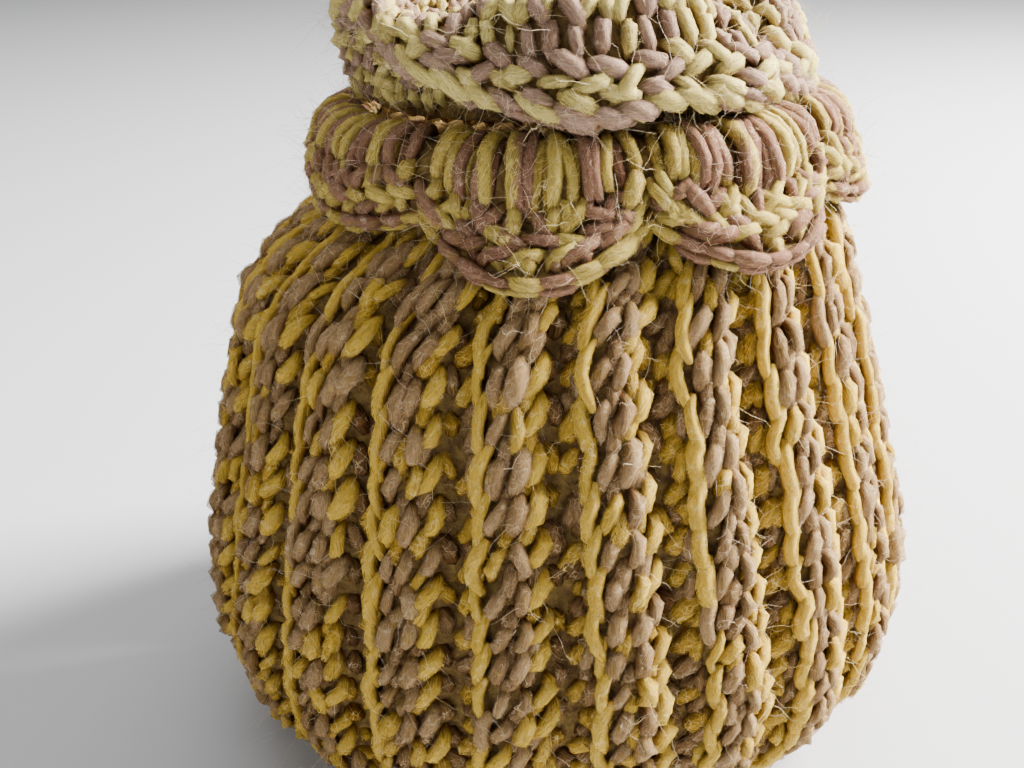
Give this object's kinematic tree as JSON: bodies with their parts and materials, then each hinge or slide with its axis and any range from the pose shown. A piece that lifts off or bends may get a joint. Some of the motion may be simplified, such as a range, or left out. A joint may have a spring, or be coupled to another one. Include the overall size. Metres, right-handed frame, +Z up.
{
  "type": "tea cosy",
  "caption": "Crocheted wool cover for a round teapot, ribbed, with side slits, a collar of shells and a ruffled top; it stands on its hem.",
  "frame": {"origin": "middle of the hem, on the surface that the cosy stands on", "axes": "+Z up out of the gathered top, -Y towards the front that the picture shows, -X towards the wide slit, +X towards the narrow slit"},
  "size_m": [0.1529, 0.1533, 0.1572],
  "materials": {
    "cover_wool": "fuzzy crocheted wool, yellow and brown strands held together, in ribs",
    "collar_wool": "fuzzy crocheted wool, yellow and mauve-brown strands held together, in shells",
    "ruffle_wool": "fuzzy crocheted wool, pale yellow and mauve strands held together, in a frill"
  },
  "bodies": {
    "root": {"ribbed_cover": "cover_wool", "shell_collar": "collar_wool", "top_ruffle": "ruffle_wool"}
  },
  "joints": []
}
